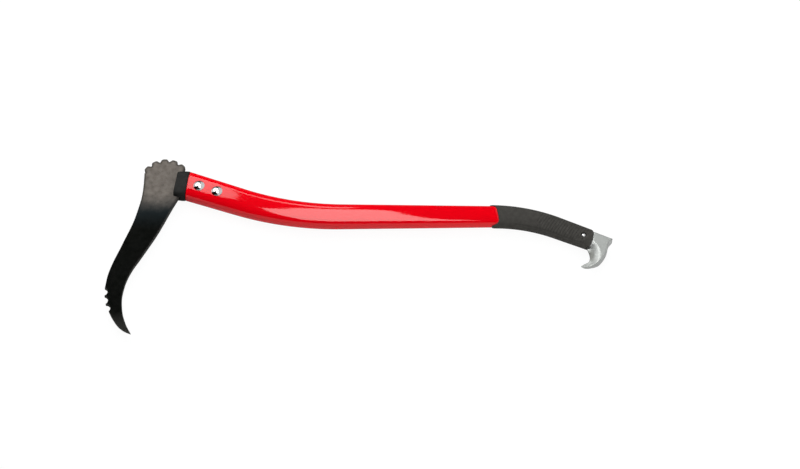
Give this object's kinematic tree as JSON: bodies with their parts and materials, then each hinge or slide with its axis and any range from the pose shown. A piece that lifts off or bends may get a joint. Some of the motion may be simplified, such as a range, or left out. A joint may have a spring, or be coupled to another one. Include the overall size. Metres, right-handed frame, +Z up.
{
  "type": "sappie",
  "caption": "Timber sappie: forged pick head with toothed poll, bent oval alloy handle with ribbed rubber grip, and a small cast hook on the handle's end.",
  "frame": {"origin": "middle of the tool's bounds in X and Y, at the height of the surface that it lies on, under the lower rivet domes", "axes": "+X along the handle's level run towards the grip and end hook, +Y across the handle away from the pick's point, +Z up through the tool's thickness as it lies on its side"},
  "size_m": [0.7422, 0.2938, 0.0318],
  "materials": {
    "forged_steel": "blackened forged steel, worn brighter at the tip and poll",
    "nylon": "black moulded nylon, satin",
    "painted_alloy": "gloss red paint on aluminium",
    "rivet_steel": "polished domes",
    "grip_rubber": "black rubber, matt with a slight sheen",
    "cast_alloy": "satin cast aluminium, chamfered edges"
  },
  "bodies": {
    "root": {"pick_head": "forged_steel", "head_collar": "nylon", "handle_tube": "painted_alloy", "rivet_front": "rivet_steel", "rivet_rear": "rivet_steel", "grip_sleeve": "grip_rubber", "end_hook": "cast_alloy", "hook_pin": "rivet_steel"}
  },
  "joints": []
}
